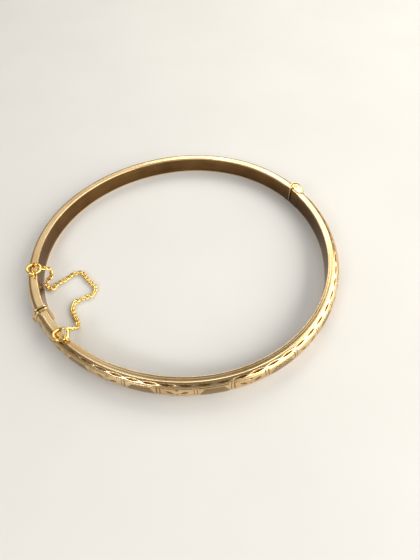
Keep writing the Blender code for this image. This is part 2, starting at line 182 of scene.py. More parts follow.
def band_points(angle, depth, height):
    """Points of the band, from angles round the wrist, depths from the inner wall and heights."""
    angle, depth, height = np.broadcast_arrays(angle, depth, height)
    step = 1e-4
    before, after = (outer_radius(a)[..., None] * np.stack((np.cos(a), np.sin(a)), -1)
                     for a in (angle - step, angle + step))
    along = after - before
    along /= np.linalg.norm(along, axis=-1, keepdims=True)
    outward = np.stack((along[..., 1], -along[..., 0]), -1)
    flat = (before + after) / 2 + (depth - BAND_DEPTH)[..., None] * outward - CENTRE_SHIFT
    return np.concatenate((flat, height[..., None]), -1)


def along_band(angle, distance):
    """The angle reached by going a distance along the inner wall."""
    return angle + distance / (outer_radius(angle) - BAND_DEPTH)


def outer_line(flat_steps, dome_steps, inset=0.0):
    """The D section's outer line from lower inner edge to upper inner edge: depth, height and girth."""
    half = BAND_WIDTH / 2
    rise, dome = half - inset, BAND_DEPTH - EDGE_FLAT - inset
    flat = np.linspace(0, EDGE_FLAT, flat_steps, endpoint=False)
    turn = np.linspace(-math.pi / 2, math.pi / 2, dome_steps + 1)
    depth = np.concatenate((flat, EDGE_FLAT + dome * np.cos(turn), flat[::-1]))
    height = np.concatenate((np.full(flat_steps, -rise), rise * np.sin(turn), np.full(flat_steps, rise)))
    if not inset:
        near = np.clip(1 - depth / EDGE_ROUND, 0, 1)
        height -= np.sign(height) * EDGE_ROUND * (1 - np.sqrt(1 - near ** 2))
        for at in EDGE_LINES:
            on_flat = np.abs(np.abs(height) - rise) < EDGE_ROUND
            height -= np.sign(height) * on_flat * LINE_DEPTH * np.exp(-((depth - at) / LINE_WIDTH) ** 2)
    girth = np.concatenate(([0], np.cumsum(np.hypot(np.diff(depth), np.diff(height)))))
    return depth, half + height, girth - girth[-1] / 2


def loft(name, rings, materials, walk=None, girth=None, closed_path=False):
    """A closed skin over rings of points, each ring joined to the next, and flat ends unless the path is
    closed. A UV layer holds how far along and round the piece each point is, where that is given."""
    count, around = rings.shape[:2]
    i, j = np.meshgrid(np.arange(count if closed_path else count - 1), np.arange(around), indexing="ij")
    i2, j2 = (i + 1) % count, (j + 1) % around
    quads = np.stack((i * around + j, i2 * around + j, i2 * around + j2, i * around + j2), -1).reshape(-1, 4)
    caps = []
    if not closed_path:
        caps = [list(range(around)), [(count - 1) * around + k for k in reversed(range(around))]]
    points = rings.reshape(-1, 3)
    a, b, c, d = (points[quads[:, k]] for k in range(4))
    volume = np.einsum("ij,ij->i", a, np.cross(b, c) + np.cross(c, d)).sum()
    if volume < 0:
        quads = quads[:, ::-1]
        caps = [cap[::-1] for cap in caps]
    mesh = bpy.data.meshes.new(name)
    mesh.from_pydata(points.tolist(), [], quads.tolist() + caps)
    if walk is not None:
        layer = mesh.uv_layers.new(name="along_the_band")
        grid = np.stack(np.broadcast_arrays(walk[:, None], girth[None, :]), -1).reshape(-1, 2)
        loops = np.empty(len(mesh.loops), np.int64)
        mesh.loops.foreach_get("vertex_index", loops)
        layer.uv.foreach_set("vector", grid[loops].astype(np.float32).ravel())
    mesh.shade_smooth()
    mesh.set_sharp_from_angle(angle=math.radians(50))
    for material in materials:
        mesh.materials.append(material)
    piece = bpy.data.objects.new(name, mesh)
    bpy.context.scene.collection.objects.link(piece)
    return piece


def band_arc(start, end, steps):
    """Angles from one end of a half to the other, and how far each is along the outer surface."""
    angles = np.linspace(start, end, steps + 1)
    radius = outer_radius(angles)
    walk = np.hypot(np.diff(radius * np.cos(angles)), np.diff(radius * np.sin(angles)))
    return angles, np.concatenate(([0], np.cumsum(walk)))


def worn_gold(name, light, deep, rough, streak_depth, banded=True):
    """Nine carat gold: a pale warm metal with a soft polish. Handling and the buff leave fine streaks,
    which run round the wrist on a band and any way on small pieces. They are drawn wide enough to show."""
    material, tree, shader = new_material(name)
    solid = add_node(tree, "TexCoord").outputs["Object"]
    if banded:
        place = add_node(tree, "UVMap", uv_map="along_the_band").outputs["UV"]
        grain = (1 / STREAK_LENGTH, 1 / STREAK_WIDTH, 1)
    else:
        place = solid
        grain = (1 / SMALL_PIECE_STREAK, 1 / SMALL_PIECE_STREAK, 1 / STREAK_WIDTH)
    stretched = add_node(tree, "Mapping", {"Vector": place, "Scale": grain})
    streaks = add_node(tree, "TexNoise", {"Vector": stretched.outputs["Vector"], "Scale": 1.0, "Detail": 3.0,
                                          "Roughness": 0.6})
    drift = add_node(tree, "TexNoise", {"Vector": solid, "Scale": 1 / TONE_DRIFT, "Detail": 2.0})
    mixed = add_node(tree, "Math", {0: streaks.outputs["Fac"], 1: drift.outputs["Fac"]}, operation="ADD")
    tone = add_node(tree, "MapRange", {"Value": mixed.outputs[0], "From Min": 0.75, "From Max": 1.3})
    tint = add_node(tree, "Mix", {MIX_FACTOR: tone.outputs["Result"], MIX_FIRST: linear(light),
                                  MIX_SECOND: linear(deep)}, data_type="RGBA")
    haze = add_node(tree, "MapRange", {"Value": streaks.outputs["Fac"], "From Min": 0.3, "From Max": 0.7,
                                       "To Min": rough[0], "To Max": rough[1]})
    bump = add_node(tree, "Bump", {"Height": streaks.outputs["Fac"], "Distance": streak_depth,
                                   "Strength": 1.0})
    tree.links.new(tint.outputs[MIX_RESULT], shader.inputs["Base Color"])
    tree.links.new(haze.outputs["Result"], shader.inputs["Roughness"])
    tree.links.new(bump.outputs["Normal"], shader.inputs["Normal"])
    shader.inputs["Metallic"].default_value = 1.0
    return material


def shell_rings(angles, line, cuts=None):
    """Rings of a channel: its outer line, cut into by the engraving, and back along its inside."""
    depth, height, _ = line
    outside = band_points(angles[:, None], depth[None, :], height[None, :])
    if cuts is not None:
        slope = np.stack((np.gradient(height), -np.gradient(depth)), -1)
        slope /= np.linalg.norm(slope, axis=1, keepdims=True)
        outside = band_points(angles[:, None], depth - cuts * slope[:, 0], height - cuts * slope[:, 1])
    inner_depth, inner_height, _ = outer_line(INSIDE_FLAT_STEPS, INSIDE_DOME_STEPS, SHEET)
    inside = band_points(angles[:, None], inner_depth[None, ::-1], inner_height[None, ::-1])
    return np.concatenate((outside, inside), 1)


def ring_girth(line, rings):
    """How far round the section each point of a channel's ring is: along its outside, then back inside."""
    girth = line[2]
    return np.concatenate((girth, np.linspace(girth[-1], girth[0], rings.shape[1] - len(girth))))


polished_gold = worn_gold("nine_carat_gold_polished", BAND_GOLD, BAND_GOLD_DEEP, rough=(0.16, 0.27),
                          streak_depth=0.004 * MM)
back_angles, back_walk = band_arc(along_band(0, BACK_FROM_HINGE), along_band(CLASP_ANGLE, -SHELL_FROM_CLASP),
                                  BACK_STEPS)
back_line = outer_line(FLAT_STEPS, BACK_DOME_STEPS)
back_rings = shell_rings(back_angles, back_line)
back_half = loft("plain_back_half", back_rings, [polished_gold], back_walk, ring_girth(back_line, back_rings))
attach(back_half, "back_half")
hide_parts("back_outer_shell")

# ---------------------------------------------------------------------------------------------------
# The engraved front half: the same channel, cut along both shoulders with a row of bright lens cuts
# and between them with panels in turn, one crossed with fine florentine lines, one with leaf cuts.
# Its cuts are made with a polished graver, so each is a small hollow mirror. Their colour is a dark
# amber, painted shade for the dark surroundings those mirrors show.
# ---------------------------------------------------------------------------------------------------
LENS_PITCH = 3.2 * MM
PANEL_LENGTH = 2 * LENS_PITCH
PANELS_FROM, CUTTING_FROM, CUTTING_STOPS_SHORT = -2.6 * MM, 0.9 * MM, 0.6 * MM
LENS_LENGTH, LENS_WIDTH, LENS_DEPTH = 2.95 * MM, 0.46 * MM, 0.15 * MM
LENS_LINE = 2.16 * MM
RIDGE_LINE, RIDGE_WIDTH, RIDGE_HEIGHT = 2.66 * MM, 0.26 * MM, 0.035 * MM
BORDER_LINE, BORDER_WIDTH, BORDER_DEPTH = 1.62 * MM, 0.12 * MM, 0.04 * MM
BAR_OFFSET, BAR_WIDTH, BAR_DEPTH = 0.30 * MM, 0.26 * MM, 0.09 * MM
LEAF_LENGTH, LEAF_WIDTH, LEAF_DEPTH = 1.75 * MM, 0.62 * MM, 0.14 * MM
LEAF_OUT, LEAF_UP, LEAF_TILT = 1.30 * MM, 0.62 * MM, math.radians(20)
BUD_LENGTH, BUD_WIDTH, BUD_DEPTH = 0.9 * MM, 0.5 * MM, 0.1 * MM
NICK_LENGTH, NICK_WIDTH, NICK_DEPTH, NICK_LINE = 0.9 * MM, 0.32 * MM, 0.08 * MM, 1.25 * MM
FLORENTINE_LENGTH, FLORENTINE_WIDTH, FLORENTINE_TAPER = 5.2 * MM, 2.5 * MM, 0.35
FLORENTINE_PITCH, FLORENTINE_LEAN, FLORENTINE_DEPTH = 0.36 * MM, math.radians(52), 0.07 * MM
# The florentine grooves' colour is painted shade, darker than the gold; the crests are near its own colour.
FLORENTINE_GROOVE_SHADE, FLORENTINE_CREST = "#7E5E34", "#EAD0A2"
ENGRAVED_GOLD, ENGRAVED_GOLD_DEEP = "#E8CEA2", "#C8A472"
# The bright cuts' colours are a dark amber: painted shade, so the lens cuts read dark whatever lights them.
CUT_PAINTED_SHADE, CUT_PAINTED_SHADE_DEEP, LEAST_CUT = "#AC7C3A", "#7C5224", 0.01 * MM
FRONT_STEPS, FRONT_DOME_STEPS = 1250, 84
# The engraved half's finishes, in the order of its material slots.
GROUND, BRIGHT, SATIN = 0, 1, 2


def lens(along, across, length, width, depth):
    """How deep a graver's V cut is at points measured from its middle: pointed ends, straight sides."""
    keel = 1 - (2 * along / length) ** 2
    return np.maximum(0, depth * (keel - np.abs(across) / (width / 2)))


def groove(distance, width, depth):
    """A shallow round groove."""
    return depth * np.maximum(0, 1 - (2 * distance / width) ** 2)


def engraving(walk, girth_at, length):
    """The engraving's depth over the front half, where it is bright cut and where it is florentine."""
    s, v = np.broadcast_arrays(walk[:, None], girth_at[None, :])
    inside = (s > CUTTING_FROM) & (s < length - CUTTING_STOPS_SHORT)
    lens_at = (s - PANELS_FROM) % LENS_PITCH - LENS_PITCH / 2
    shoulders = lens(lens_at, np.abs(v) - LENS_LINE, LENS_LENGTH, LENS_WIDTH, LENS_DEPTH)
    panel_at = (s - PANELS_FROM) % PANEL_LENGTH
    middle = panel_at - PANEL_LENGTH / 2
    odd = ((s - PANELS_FROM) // PANEL_LENGTH).astype(int) % 2 == 1
    waist = np.abs(v) < BORDER_LINE
    from_panel_end = np.minimum(panel_at, PANEL_LENGTH - panel_at)
    bars = groove(from_panel_end - BAR_OFFSET, BAR_WIDTH, BAR_DEPTH) * waist
    borders = groove(np.abs(v) - BORDER_LINE, BORDER_WIDTH, BORDER_DEPTH)
    leaves = np.zeros(s.shape)
    for way in (-1, 1):
        for up in (-1, 1):
            x, y = middle - way * LEAF_OUT, v - up * LEAF_UP
            turn = way * up * LEAF_TILT
            leaves = np.maximum(leaves, lens(x * math.cos(turn) + y * math.sin(turn),
                                             y * math.cos(turn) - x * math.sin(turn),
                                             LEAF_LENGTH, LEAF_WIDTH, LEAF_DEPTH))
    bud = lens(v, middle, BUD_LENGTH, BUD_WIDTH, BUD_DEPTH)
    nicks = lens(middle, np.abs(v) - NICK_LINE, NICK_LENGTH, NICK_WIDTH, NICK_DEPTH)
    motif = np.maximum.reduce((leaves, bud, nicks)) * odd
    from_middle = np.abs(middle) / (FLORENTINE_LENGTH / 2)
    field = ~odd & (from_middle + FLORENTINE_TAPER * np.abs(v) / (FLORENTINE_WIDTH / 2) < 1)
    field &= np.abs(v) < FLORENTINE_WIDTH / 2
    bright = np.maximum.reduce((shoulders, bars, motif)) * inside
    ridge = groove(np.abs(v) - RIDGE_LINE, RIDGE_WIDTH, RIDGE_HEIGHT) * inside
    depth = np.maximum(bright, borders * inside) - ridge * (bright <= 0)
    return depth, bright > LEAST_CUT, field & inside


def florentine_gold():
    """Florentine finish: close crossed lines cut with a liner graver, which scatter the light to satin.
    The real lines are about a tenth of a millimetre apart. They are drawn much coarser, so that they show."""
    material, tree, shader = new_material("nine_carat_gold_florentine")
    place = add_node(tree, "UVMap", uv_map="along_the_band").outputs["UV"]
    # A wave texture of scale 1 repeats every 2 pi / 20.
    wave_scale = 2 * math.pi / (20 * FLORENTINE_PITCH)
    cuts = []
    for lean in (FLORENTINE_LEAN, -FLORENTINE_LEAN):
        turned = add_node(tree, "Mapping", {"Vector": place, "Rotation": (0, 0, lean)})
        lines = add_node(tree, "TexWave", {"Vector": turned.outputs["Vector"], "Scale": wave_scale,
                                           "Distortion": 0.6, "Detail Scale": 0.3}, wave_profile="TRI")
        cuts.append(lines.outputs["Fac"])
    crossed = add_node(tree, "Math", {0: cuts[0], 1: cuts[1]}, operation="MULTIPLY")
    # Dark where the crossed lines cut deepest: painted shade in the grooves.
    tint = add_node(tree, "Mix", {MIX_FACTOR: crossed.outputs[0], MIX_FIRST: linear(FLORENTINE_GROOVE_SHADE),
                                  MIX_SECOND: linear(FLORENTINE_CREST)}, data_type="RGBA")
    bump = add_node(tree, "Bump", {"Height": crossed.outputs[0], "Distance": FLORENTINE_DEPTH,
                                   "Strength": 1.0})
    tree.links.new(tint.outputs[MIX_RESULT], shader.inputs["Base Color"])
    tree.links.new(bump.outputs["Normal"], shader.inputs["Normal"])
    shader.inputs["Metallic"].default_value = 1.0
    shader.inputs["Roughness"].default_value = 0.34
    return material


engraved_gold = worn_gold("nine_carat_gold_engraved_ground", ENGRAVED_GOLD, ENGRAVED_GOLD_DEEP,
                          rough=(0.16, 0.30), streak_depth=0.004 * MM)
painted_shade_cut = worn_gold("nine_carat_gold_painted_shade_cut", CUT_PAINTED_SHADE, CUT_PAINTED_SHADE_DEEP, rough=(0.08, 0.16),
                       streak_depth=0.001 * MM)
front_angles, front_walk = band_arc(along_band(CLASP_ANGLE, SHELL_FROM_CLASP),
                                    along_band(2 * math.pi, -FRONT_FROM_HINGE), FRONT_STEPS)
front_line = outer_line(FLAT_STEPS, FRONT_DOME_STEPS)
cuts, cut_here, florentine_here = engraving(front_walk, front_line[2], front_walk[-1])
front_rings = shell_rings(front_angles, front_line, cuts)
front_half = loft("engraved_front_half", front_rings, [engraved_gold, painted_shade_cut, florentine_gold()],
                  front_walk, ring_girth(front_line, front_rings))
finishes = np.zeros((FRONT_STEPS, front_rings.shape[1]), np.int32)
outside = len(front_line[2]) - 1
uncut = np.where(florentine_here[:-1, :-1], SATIN, GROUND)
# Bright-cut faces take the dark amber painted shade.
finishes[:, :outside] = np.where(cut_here[:-1, :-1] & cut_here[1:, 1:], BRIGHT, uncut)
sides_and_ends = np.append(finishes.ravel(), (GROUND, GROUND)).astype(np.int32)
front_half.data.polygons.foreach_set("material_index", sides_and_ends)
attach(front_half, "front_half")
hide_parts("front_outer_shell")

# ---------------------------------------------------------------------------------------------------
# The linings: a flat strip of gold, let into the back of each channel and soldered, which closes it
# and makes the smooth wall that lies against the wrist. It is buffed to a mirror, and its colour is
# painted dark: a painted reflection of dark surroundings, not the gold's own tone.
# ---------------------------------------------------------------------------------------------------
LINING, SOLDER_GAP = 0.3 * MM, 0.05 * MM
LINING_LOW, LINING_HIGH = SHEET + SOLDER_GAP, BAND_WIDTH - SHEET - SOLDER_GAP
LINING_ROUND, LINING_POINTS = 0.06 * MM, 12
# The lining colours are painted dark, well below the gold's own: a painted reflection of dark surroundings.
LINING_PAINTED_DARK, LINING_PAINTED_DARK_DEEP = "#80603A", "#5A4024"

lining_painted_dark = worn_gold("nine_carat_gold_lining_painted_dark", LINING_PAINTED_DARK, LINING_PAINTED_DARK_DEEP, rough=(0.12, 0.22),
                        streak_depth=0.003 * MM)
heights = np.linspace(LINING_LOW, LINING_HIGH, LINING_POINTS)
from_edge = np.minimum(heights - LINING_LOW, LINING_HIGH - heights)
face = LINING_ROUND * np.clip(1 - from_edge / LINING_ROUND, 0, 1) ** 2
strip_depth = np.concatenate((face, np.full(LINING_POINTS, LINING)))
strip_height = np.concatenate((heights, heights[::-1]))
for half, angles, walk, every in (("back", back_angles, back_walk, 4),
                                  ("front", front_angles, front_walk, 8)):
    kept = np.unique(np.append(np.arange(0, len(angles), every), len(angles) - 1))
    rings = band_points(angles[kept][:, None], strip_depth[None, :], strip_height[None, :])
    lining = loft(f"{half}_wrist_lining", rings, [lining_painted_dark], walk[kept], strip_height)
    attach(lining, f"{half}_half")
    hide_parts(f"{half}_lining")

# ---------------------------------------------------------------------------------------------------
# The hinge: one small casting ends each half, and their knuckles share a riveted pin near the outer
# face. The front casting carries a raised pointed plate, the back one a lip round the front's knuckle.
# Their faces by the seam are painted dark: painted shade in the narrow gap between them.
# ---------------------------------------------------------------------------------------------------
KNUCKLE_RADIUS, HINGE_GAP, BLOCK_HEIGHT = 0.85 * MM, 0.1 * MM, 4.15 * MM
BACK_BLOCK, FRONT_BLOCK, BLOCK_STEPS = 1.7 * MM, 2.6 * MM, 12
PIN_RADIUS, PIN_HEAD, PIN_ROOM = 0.35 * MM, 0.42 * MM, 0.03 * MM
PIN_DEPTH, PIN_BEHIND_SEAM, PIN_FOOT = 1.5 * MM, 0.15 * MM, 0.05 * MM
PIN_PROUD, PIN_RIM, RIVET_DOME, RIVET_TURN, RIVET_POINTS = 0.01 * MM, 0.02 * MM, 0.09 * MM, 1.5, 6
SEAM_HALF, SEAM_RIM, SEAM_SHADE_REACH = 0.2 * MM, 0.4 * MM, 0.3 * MM
# The plate's corners: distances from the seam and depths from the inner wall, in millimetres.
PLATE_OUTLINE = ((0.26, 0.4), (1.9, 0.45), (2.5, 1.1), (2.0, 2.1), (0.5, 2.3), (0.26, 2.3))
LIP_RADIUS, LIP_GAP, LIP_REACH = 1.3 * MM, 0.2 * MM, 3 * MM
OPENING_RELIEF, RELIEF_REACH = math.radians(26), 5 * MM
SOFT_RIM, CRISP_RIM, CUTTER_RIM, RIM_POINTS = 0.09 * MM, 0.03 * MM, 0.01 * MM, 5
LAYER, ROUND_SIDES = BLOCK_HEIGHT / 3, 48
CAST_GOLD, CAST_GOLD_DEEP = "#DAC398", "#B59466"
SEAM_PAINTED_SHADE, SEAM_PAINTED_SHADE_DEEP = "#4A3520", "#2A1D10"
# A casting's finishes, in the order of its material slots. The next line tells its wrist side from the
# rest, and says how far below the top edge the painted shade by the seam stops.
CAST, WRIST_PAINTED_DARK, SHADED_SEAM = 0, 1, 2
FACES_WRIST, WRIST_SIDE_DEPTH, UNSHADED_TOP = -0.9, 0.25 * MM, 0.05 * MM
# The ends of a cutter, past every face of a casting.
BELOW, ABOVE = -MM, 6 * MM

cast_gold = worn_gold("nine_carat_gold_cast", CAST_GOLD, CAST_GOLD_DEEP, rough=(0.16, 0.28),
                      streak_depth=0.004 * MM, banded=False)
painted_seam_shade = worn_gold("gold_with_painted_shade_in_the_seam", SEAM_PAINTED_SHADE, SEAM_PAINTED_SHADE_DEEP, rough=(0.35, 0.5),
                      streak_depth=0.004 * MM, banded=False)
pin_angle = along_band(0, PIN_BEHIND_SEAM)
pin_axis = band_points(pin_angle, PIN_DEPTH, 0.0)
pin_outward = (band_points(pin_angle, PIN_DEPTH + MM, 0.0) - pin_axis) / MM
pin_along = np.array((-pin_outward[1], pin_outward[0], 0.0))


def turned(name, profile, material):
    """A round piece on the hinge's axis, from (radius, height) points."""
    turn = np.linspace(0, 2 * math.pi, ROUND_SIDES, endpoint=False)
    rings = [pin_axis + np.stack((r * np.cos(turn), r * np.sin(turn), np.full(ROUND_SIDES, h)), -1)
             for r, h in profile]
    return loft(name, np.array(rings), [material])


def drum(radius, low, high, edge):
    """The profile of a round with softened rims."""
    turn = np.linspace(0, math.pi / 2, RIM_POINTS)
    foot = [(radius - edge * (1 - math.sin(t)), low + edge * (1 - math.cos(t))) for t in turn]
    return foot + [(r, low + high - h) for r, h in reversed(foot)]


def slab(name, outline, low, high, edge, material):
    """A flat piece sawn to an outline of (x, y) points, with its upper rim softened."""
    work = bmesh.new()
    face = work.faces.new([work.verts.new((x, y, low)) for x, y in outline])
    raised = bmesh.ops.extrude_face_region(work, geom=[face])["geom"]
    tops = {part for part in raised if isinstance(part, bmesh.types.BMVert)}
    bmesh.ops.translate(work, verts=list(tops), vec=(0, 0, high - low))
    bmesh.ops.recalc_face_normals(work, faces=work.faces)
    if edge:
        rim = [line for line in work.edges if tops.issuperset(line.verts)]
        bmesh.ops.bevel(work, geom=rim, offset=edge, segments=3, affect="EDGES", profile=0.5)
    mesh = bpy.data.meshes.new(name)
    work.to_mesh(mesh)
    work.free()
    mesh.materials.append(material)
    piece = bpy.data.objects.new(name, mesh)
    bpy.context.scene.collection.objects.link(piece)
    return piece


def shaped(piece, *others):
    """Joins pieces to a casting or files them out of it, one after another."""
    for other, operation in others:
        change = piece.modifiers.new(operation, "BOOLEAN")
        change.operation, change.object = operation, other
        bpy.context.view_layer.update()
        done = bpy.data.meshes.new_from_object(piece.evaluated_get(bpy.context.evaluated_depsgraph_get()))
        piece.modifiers.clear()
        piece.data = done
        bpy.data.objects.remove(other)
    piece.data.shade_smooth()
    piece.data.set_sharp_from_angle(angle=math.radians(32))
    return piece


def at_pin(along, out):
    """A point in plan, measured from the pin towards the back half and outwards."""
    return (pin_axis + along * pin_along + out * pin_outward)[:2]


def casting(name, side, length, *others):
    """A casting's D-shaped body, filed and joined. Its wrist side is buffed like the lining and painted as
    dark, apart from a bright rim on the back casting, and its faces by the seam get painted shade below
    the top edge."""
    angles, walk = band_arc(along_band(0, side * SEAM_HALF), along_band(0, side * length), BLOCK_STEPS)
    depth, height, girth = outer_line(FLAT_STEPS, BACK_DOME_STEPS)
    rings = band_points(angles[:, None], depth, height)
    body = loft(name, rings, [cast_gold, lining_painted_dark, painted_seam_shade], walk, girth)
    shaped(body, *others)
    for polygon in body.data.polygons:
        place = np.array(polygon.center) - band_points(0.0, 0.0, 0.0)
        out, along = place.dot(pin_outward), side * place.dot(pin_along)
        # Wrist-side faces take the lining's painted dark reflection, except a rim by the seam on the back
        # casting.
        if np.dot(polygon.normal, pin_outward) < FACES_WRIST and out < WRIST_SIDE_DEPTH:
            polygon.material_index = WRIST_PAINTED_DARK if side < 0 or along > SEAM_RIM else CAST
        # Faces by the seam, below the top edge, get the painted seam shade.
        elif along < SEAM_SHADE_REACH and out < PIN_DEPTH and place[2] < BAND_WIDTH - UNSHADED_TOP:
            polygon.material_index = SHADED_SEAM
    return body


def room(low, high):
    """Room for the other casting's knuckle to turn in."""
    return turned("room", drum(KNUCKLE_RADIUS + LIP_GAP, low, high, CUTTER_RIM), cast_gold), "DIFFERENCE"


def knuckle(low, high, rim):
    """One knuckle of a casting."""
    return turned("knuckle", drum(KNUCKLE_RADIUS, low, high, rim), cast_gold), "UNION"


def pin_hole():
    """The hole for the pin, right through a casting."""
    return turned("pin_hole", drum(PIN_RADIUS + PIN_ROOM, BELOW, ABOVE, CUTTER_RIM), cast_gold), "DIFFERENCE"


low_layer = (PIN_FOOT, LAYER - HINGE_GAP / 2)
middle_layer = (LAYER + HINGE_GAP / 2, 2 * LAYER - HINGE_GAP / 2)
high_layer = (2 * LAYER + HINGE_GAP / 2, BLOCK_HEIGHT)
seam = HINGE_GAP / 2 - PIN_BEHIND_SEAM
past_seam = [at_pin(x, y) for x, y in ((-LIP_REACH, -LIP_REACH), (seam, -LIP_REACH), (seam, LIP_REACH),
                                       (-LIP_REACH, LIP_REACH))]
lip = turned("lip", drum(LIP_RADIUS, *high_layer, SOFT_RIM), cast_gold)
shaped(lip, (slab("lip_front", past_seam, 0, ABOVE, 0, cast_gold), "DIFFERENCE"))
back_casting = casting("back_hinge_casting", 1, BACK_BLOCK, (lip, "UNION"), room(middle_layer[1], ABOVE),
                       room(BELOW, middle_layer[0]), knuckle(*middle_layer, CRISP_RIM), pin_hole())
plate_points = [band_points(along_band(0, -along * MM), depth * MM, 0.0)[:2]
                for along, depth in PLATE_OUTLINE]
plate = slab("plate", plate_points, PIN_FOOT, BLOCK_HEIGHT, SOFT_RIM, cast_gold)
opened = RELIEF_REACH * np.array((-math.sin(OPENING_RELIEF), math.cos(OPENING_RELIEF)))
relief_points = [at_pin(x, y) for x, y in ((RELIEF_REACH, 0), (-PIN_BEHIND_SEAM, 0), opened,
                                           (RELIEF_REACH, RELIEF_REACH))]
relief = slab("relief", relief_points, BELOW, ABOVE, 0, cast_gold)
front_casting = casting("front_hinge_casting", -1, FRONT_BLOCK, (plate, "UNION"), (relief, "DIFFERENCE"),
                        room(low_layer[1], high_layer[0]), knuckle(*low_layer, CRISP_RIM),
                        knuckle(*high_layer, SOFT_RIM), pin_hole())
pin_top = BLOCK_HEIGHT + PIN_PROUD
shank = drum(PIN_RADIUS, PIN_FOOT, pin_top, PIN_RIM)[:-RIM_POINTS]
rivet_head = [(PIN_HEAD * math.cos(turn), pin_top + RIVET_DOME * math.sin(turn))
              for turn in np.linspace(0, RIVET_TURN, RIVET_POINTS)]
pin = turned("riveted_hinge_pin", shank + rivet_head, cast_gold)
for piece, body, node in ((back_casting, "back_half", "back_hinge_block"), (pin, "back_half", "hinge_pin"),
                          (front_casting, "front_half", "front_hinge_block")):
    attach(piece, body)
    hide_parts(node)

# ---------------------------------------------------------------------------------------------------
# The clasp: a half-round wire frame round the mouth of each half, a slotted plate inside the back one
# and a tongue of hard rolled gold, folded on itself, that snaps through the slot.
# ---------------------------------------------------------------------------------------------------
COLLAR_NEAR, COLLAR_THICKNESS, COLLAR_PROUD = 0.15 * MM, 0.5 * MM, 0.35 * MM
COLLAR_WIRE, COLLAR_GROOVE = 0.42 * MM, 0.06 * MM
WIRE_GOLD, WIRE_GOLD_DEEP = "#F0D8A6", "#DDBB82"
SPRING_GOLD, SPRING_GOLD_DEEP = "#DDBB80", "#BE955A"
COLLAR_FLAT_STEPS, COLLAR_DOME_STEPS, COLLAR_WALL_POINTS, COLLAR_ARC_POINTS = 10, 44, 16, 14
COLLAR_FULLNESS = 0.7

collar_gold = worn_gold("nine_carat_gold_wire", WIRE_GOLD, WIRE_GOLD_DEEP, rough=(0.12, 0.26),
                        streak_depth=0.004 * MM, banded=False)
spring_gold = worn_gold("hard_rolled_gold", SPRING_GOLD, SPRING_GOLD_DEEP, rough=(0.25, 0.4),
                        streak_depth=0.006 * MM, banded=False)


def whole_section():
    """The whole D round, out along the lower edge, over the dome and back down the inner wall, and which
    way is out of it at each point."""
    depth, height, _ = outer_line(COLLAR_FLAT_STEPS, COLLAR_DOME_STEPS)
    depth = np.concatenate((depth, np.zeros(COLLAR_WALL_POINTS)))
    height = np.concatenate((height, np.linspace(BAND_WIDTH, 0, COLLAR_WALL_POINTS + 2)[1:-1]))
    line = np.stack((depth, height), -1)
    ahead = np.roll(line, -1, 0) - np.roll(line, 1, 0)
    out = np.stack((ahead[:, 1], -ahead[:, 0]), -1)
    return line, out / np.linalg.norm(out, axis=1, keepdims=True)


section, section_out = whole_section()


def collar_ring(side, distance, proud):
    """The section at a distance from the clasp's seam, drawn out by proud, but not below the table."""
    outline = section + section_out * proud
    outline[:, 1] = np.maximum(outline[:, 1], 0)
    return band_points(along_band(CLASP_ANGLE, side * distance), outline[:, 0], outline[:, 1])


for half, side in (("back", -1), ("front", 1)):
    rings = []
    for turn in np.linspace(-math.pi / 2, math.pi / 2, COLLAR_ARC_POINTS):
        proud = (COLLAR_PROUD + COLLAR_GROOVE) * math.cos(turn) ** COLLAR_FULLNESS - COLLAR_GROOVE
        rings.append(collar_ring(side, COLLAR_NEAR + COLLAR_WIRE / 2 * (1 + math.sin(turn)), proud))
    rings.append(collar_ring(side, COLLAR_NEAR + COLLAR_THICKNESS, -COLLAR_GROOVE))
    for distance in (COLLAR_NEAR + COLLAR_THICKNESS, COLLAR_NEAR):
        rings.append(collar_ring(side, distance, -(SHEET + SOLDER_GAP)))
    collar = loft(f"{half}_mouth_collar", np.array(rings), [collar_gold], closed_path=True)
    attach(collar, f"{half}_half")
    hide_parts(f"{half}_collar")
for node, finish, slot in (("back_throat_plate", collar_gold, "clasp"),
                           ("front_end_plate", collar_gold, "clasp"),
                           ("tongue_strip", spring_gold, "spring"),
                           ("tongue_leaf", spring_gold, "spring")):
    frame["nodes"][node].data.materials.clear()
    frame["nodes"][node].data.materials.append(finish)

# ---------------------------------------------------------------------------------------------------
# The eyes and jump rings: a staple of round wire soldered to the top edge of each half with a bead of
# solder beside it, and a ring of the same yellow wire through it, which holds the chain.
# ---------------------------------------------------------------------------------------------------
EYE_FROM_CLASP, EYE_DEPTH = math.radians(17), 0.5 * MM
EYE_RADIUS, EYE_LEG, EYE_WIRE = 0.65 * MM, 0.2 * MM, 0.4 * MM
RING_RADIUS, RING_WIRE, RING_HEIGHT, RING_TILT = 1.3 * MM, 0.58 * MM, 0.32 * MM, math.radians(10)
WIRE_SIDES, ARCH_POINTS, RING_POINTS = 20, 25, 72
BEAD_RADIUS, BEAD_RISE, BEAD_SQUASH = 0.34 * MM, 0.45, 0.8
BEAD_DEPTHS = {"back": 1.12 * MM, "front": 0.12 * MM}
CHAIN_GOLD, CHAIN_GOLD_DEEP = "#FADE90", "#E6C068"
UP = np.array((0, 0, 1.0))
# A direction that none of the wires starts in.
ASKEW = (0.31, 0.47, 0.83)

chain_gold = worn_gold("yellow_gold_wire", CHAIN_GOLD, CHAIN_GOLD_DEEP, rough=(0.10, 0.20),
                       streak_depth=0.002 * MM, banded=False)


def wire(points, radius, sides, closed=False):
    """Rings of points round a line, for a round wire."""
    points = np.asarray(points)
    ahead = np.roll(points, -1, 0) - np.roll(points, 1, 0)
    if not closed:
        ahead[0], ahead[-1] = points[1] - points[0], points[-1] - points[-2]
    ahead /= np.linalg.norm(ahead, axis=1, keepdims=True)
    side = np.cross(ahead[0], ASKEW)
    rings = []
    for point, way in zip(points, ahead):
        side = side - way * side.dot(way)
        side /= np.linalg.norm(side)
        turn = np.linspace(0, 2 * math.pi, sides, endpoint=False)[:, None]
        rings.append(point + radius * (np.cos(turn) * side + np.sin(turn) * np.cross(way, side)))
    return np.array(rings)


